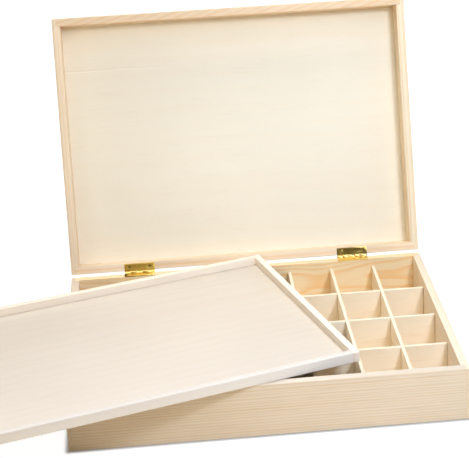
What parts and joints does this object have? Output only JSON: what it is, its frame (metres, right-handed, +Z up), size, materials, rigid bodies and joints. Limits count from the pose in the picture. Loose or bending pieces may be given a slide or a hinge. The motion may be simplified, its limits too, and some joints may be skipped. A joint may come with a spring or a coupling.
{
  "type": "seashell display case",
  "caption": "Shallow hinged wooden case with a grid of compartments, a drop-in tray lying askew on its rim and a framed lid standing open on stop hinges.",
  "frame": {"origin": "middle of the underside of the base", "axes": "+X to the right along the front, +Y to the hinged back, +Z up"},
  "size_m": [0.4807, 0.4354, 0.2926],
  "materials": {
    "pine": "bare, planed and sanded",
    "light_wood": "bare, planed and sanded",
    "plywood": "bare, sanded",
    "brass": "bright plated, light wear"
  },
  "bodies": {
    "base": {"front_wall": "pine", "back_wall": "pine", "left_wall": "pine", "right_wall": "pine", "base_panel": "plywood", "short_divider_1": "plywood", "short_divider_2": "plywood", "short_divider_3": "plywood", "short_divider_4": "plywood", "short_divider_5": "plywood", "short_divider_6": "plywood", "short_divider_7": "plywood", "long_divider_1": "plywood", "long_divider_2": "plywood", "long_divider_3": "plywood", "left_hinge_base_leaf": "brass", "left_hinge_pin": "brass", "right_hinge_base_leaf": "brass", "right_hinge_pin": "brass", "base_leaf_screws": "brass"},
    "lid": {"lid_front_rail": "pine", "lid_back_rail": "pine", "lid_left_rail": "pine", "lid_right_rail": "pine", "lid_panel": "plywood", "left_hinge_lid_leaf": "brass", "right_hinge_lid_leaf": "brass", "lid_leaf_screws": "brass"},
    "tray": {"tray_front_strip": "light_wood", "tray_back_strip": "light_wood", "tray_left_strip": "light_wood", "tray_right_strip": "light_wood", "tray_floor": "plywood"}
  },
  "joints": [
    {"name": "lid_hinge", "type": "hinge", "parent": "base", "child": "lid", "pos_m": [0, 0.1288, 0.0502], "axis": [1, 0, 0], "range_deg": [0, 108.5]},
    {"name": "tray_slide", "type": "slide", "parent": "base", "child": "tray", "axis": [-0.9558, -0.294, 0], "range_m": [0, 0.2905]}
  ],
  "couplings": [
    {"joint": "tray_slide", "follows": "lid_hinge", "m_per_rad": 0.15314}
  ]
}
